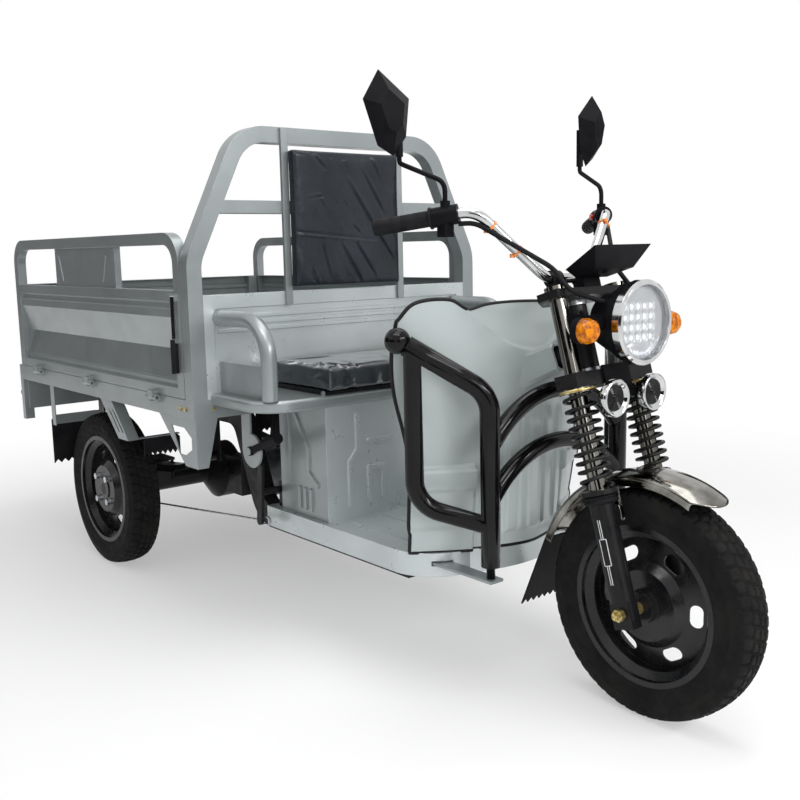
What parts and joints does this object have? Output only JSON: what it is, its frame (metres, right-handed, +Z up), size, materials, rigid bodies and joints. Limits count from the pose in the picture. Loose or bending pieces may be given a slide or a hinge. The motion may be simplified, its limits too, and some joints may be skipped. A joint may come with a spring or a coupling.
{
  "type": "cargo tricycle",
  "caption": "Electric cargo tricycle with a sprung front fork, leg shield, crash guard, padded seat over a battery box and a load bed with drop-down gates.",
  "frame": {"origin": "on the ground under the middle of the overall length and width", "axes": "+X to the front of the vehicle, +Y to the rider's left, +Z up"},
  "size_m": [2.49, 0.9806, 1.3017],
  "materials": {
    "body_paint": "silver-grey baked enamel with fine metallic flake",
    "frame_black": "semi-gloss black enamel",
    "shield_plastic": "pearl silver moulded plastic",
    "bright_plate": "bright plated steel",
    "cast_alloy": "cast and machined alloy",
    "spring_steel": "black painted spring steel",
    "tyre_rubber": "black tread rubber",
    "black_rubber": "matt black rubber",
    "black_plastic": "fine-grained black plastic",
    "clear_lens": "clear moulded lens",
    "amber_lens": "amber moulded lens",
    "red_lens": "red moulded lens",
    "seat_vinyl": "creased black vinyl over foam",
    "brass_plate": "yellow passivated steel",
    "battery_case": "dark moulded battery cases"
  },
  "bodies": {
    "chassis": {"main_frame": "frame_black", "floor_pan": "body_paint", "leg_shield": "shield_plastic", "crash_guard": "frame_black", "battery_box": "body_paint", "power_pack": "battery_case", "seat_shelf": "body_paint", "arm_hoops": "body_paint", "backrest_pad": "seat_vinyl", "bed_frame": "body_paint", "front_wall": "body_paint", "headboard_hoop": "body_paint", "hinge_pins": "bright_plate", "bed_bolts": "brass_plate", "rear_mud_flaps": "black_rubber", "tail_lamps": "red_lens", "leaf_springs": "spring_steel", "head_bearings": "spring_steel"},
    "steering": {"steering_stem": "frame_black", "upper_yoke": "frame_black", "fork_tubes": "bright_plate", "fork_springs": "spring_steel", "handlebar": "bright_plate", "left_grip": "black_rubber", "switch_housings": "black_plastic", "mirror_stems": "black_plastic", "headlight_shell": "bright_plate", "headlight_ring": "bright_plate", "headlight_lens": "clear_lens", "turn_signals": "amber_lens", "horn_set": "frame_black", "display": "black_plastic", "control_cables": "black_rubber"},
    "throttle": {"throttle_grip": "black_rubber"},
    "mirror_right": {"right_mirror": "black_plastic"},
    "mirror_left": {"left_mirror": "black_plastic"},
    "horn_press": {"horn_button": "red_lens"},
    "fork_slider": {"fork_legs": "frame_black", "front_axle": "brass_plate", "front_fender": "bright_plate", "front_mud_flap": "black_rubber"},
    "front_wheel": {"front_tyre": "tyre_rubber", "front_rim": "frame_black"},
    "axle": {"rear_axle": "frame_black", "drive_motor": "cast_alloy"},
    "wheel_right": {"right_rear_tyre": "tyre_rubber", "right_rear_rim": "frame_black"},
    "wheel_left": {"left_rear_tyre": "tyre_rubber", "left_rear_rim": "frame_black"},
    "gate_right": {"right_gate": "body_paint"},
    "gate_left": {"left_gate": "body_paint"},
    "gate_tail": {"tail_gate": "body_paint"},
    "latch_right": {"right_latch": "bright_plate"},
    "latch_left": {"left_latch": "bright_plate"},
    "seat": {"seat_base": "frame_black", "seat_cushion": "seat_vinyl"},
    "shaft": {"brake_shaft": "frame_black"},
    "rods": {"brake_rods": "bright_plate"},
    "pedal": {"brake_pedal": "frame_black"},
    "park_lever": {"hand_lever": "frame_black"}
  },
  "joints": [
    {"name": "steer", "type": "hinge", "parent": "chassis", "child": "steering", "pos_m": [0.8444, 0, 0.65445], "axis": [-0.279, 0, 0.9603], "range_deg": [-30, 30]},
    {"name": "fork_travel", "type": "slide", "parent": "steering", "child": "fork_slider", "axis": [-0.279, 0, 0.9603], "range_m": [-0.012, 0.06], "stiffness_N_per_m": 40000, "springref_m": -0.008, "deforming": ["fork_springs"]},
    {"name": "front_spin", "type": "hinge", "parent": "fork_slider", "child": "front_wheel", "pos_m": [1.01, 0, 0.235], "axis": [0, 1, 0], "continuous": true},
    {"name": "throttle_twist", "type": "hinge", "parent": "steering", "child": "throttle", "pos_m": [0.55384, -0.335, 0.99012], "axis": [-0.7738, -0.6172, -0.1424], "range_deg": [0, 70], "stiffness_Nm_per_rad": 0.35},
    {"name": "mirror_right_turn", "type": "hinge", "parent": "steering", "child": "mirror_right", "pos_m": [0.57337, -0.27986, 1.13339], "axis": [0, 0, 1], "range_deg": [-25, 25]},
    {"name": "mirror_left_turn", "type": "hinge", "parent": "steering", "child": "mirror_left", "pos_m": [0.57337, 0.27986, 1.13339], "axis": [0, 0, 1], "range_deg": [-25, 25]},
    {"name": "horn_push", "type": "slide", "parent": "steering", "child": "horn_press", "axis": [0.6235, 0.7818, 0], "range_m": [0, 0.002], "stiffness_N_per_m": 300, "springref_m": -0.002},
    {"name": "axle_travel", "type": "slide", "parent": "chassis", "child": "axle", "axis": [0, 0, 1], "range_m": [-0.012, 0.028], "stiffness_N_per_m": 90000, "springref_m": -0.012, "deforming": ["leaf_springs"]},
    {"name": "right_spin", "type": "hinge", "parent": "axle", "child": "wheel_right", "pos_m": [-0.73, -0.375, 0.235], "axis": [0, 1, 0], "continuous": true},
    {"name": "left_spin", "type": "hinge", "parent": "axle", "child": "wheel_left", "pos_m": [-0.73, 0.375, 0.235], "axis": [0, 1, 0], "continuous": true},
    {"name": "right_gate_drop", "type": "hinge", "parent": "chassis", "child": "gate_right", "pos_m": [-0.6225, -0.481, 0.583], "axis": [1, 0, 0], "range_deg": [0, 168]},
    {"name": "left_gate_drop", "type": "hinge", "parent": "chassis", "child": "gate_left", "pos_m": [-0.6225, 0.481, 0.583], "axis": [-1, 0, 0], "range_deg": [0, 168]},
    {"name": "tail_gate_drop", "type": "hinge", "parent": "chassis", "child": "gate_tail", "pos_m": [-1.211, 0, 0.583], "axis": [0, -1, 0], "range_deg": [0, 168]},
    {"name": "right_latch_lift", "type": "hinge", "parent": "gate_right", "child": "latch_right", "pos_m": [-0.067, -0.4768, 0.842], "axis": [-1, 0, 0], "range_deg": [0, 100]},
    {"name": "left_latch_lift", "type": "hinge", "parent": "gate_left", "child": "latch_left", "pos_m": [-0.067, 0.4768, 0.842], "axis": [1, 0, 0], "range_deg": [0, 100]},
    {"name": "seat_tip", "type": "hinge", "parent": "chassis", "child": "seat", "pos_m": [0.238, 0, 0.611], "axis": [0, 1, 0], "range_deg": [0, 72]},
    {"name": "pedal_press", "type": "hinge", "parent": "chassis", "child": "pedal", "pos_m": [0.48, -0.12, 0.312], "axis": [0, 1, 0], "range_deg": [0, 18], "stiffness_Nm_per_rad": 10, "springref_deg": -20.05},
    {"name": "shaft_turn", "type": "hinge", "parent": "chassis", "child": "shaft", "pos_m": [0.012, 0, 0.335], "axis": [0, -1, 0], "range_deg": [0, 10]},
    {"name": "rod_follow", "type": "hinge", "parent": "axle", "child": "rods", "pos_m": [-0.634, 0, 0.188], "axis": [0, 1, 0], "range_deg": [-1.1, 2.6]},
    {"name": "park_brake", "type": "hinge", "parent": "chassis", "child": "park_lever", "pos_m": [0.004, -0.318, 0.446], "axis": [0, -1, 0], "range_deg": [0, 25]}
  ],
  "couplings": [
    {"joint": "shaft_turn", "follows": "pedal_press", "ratio": 0.55},
    {"joint": "rod_follow", "follows": "axle_travel", "rad_per_m": 1.5674}
  ]
}
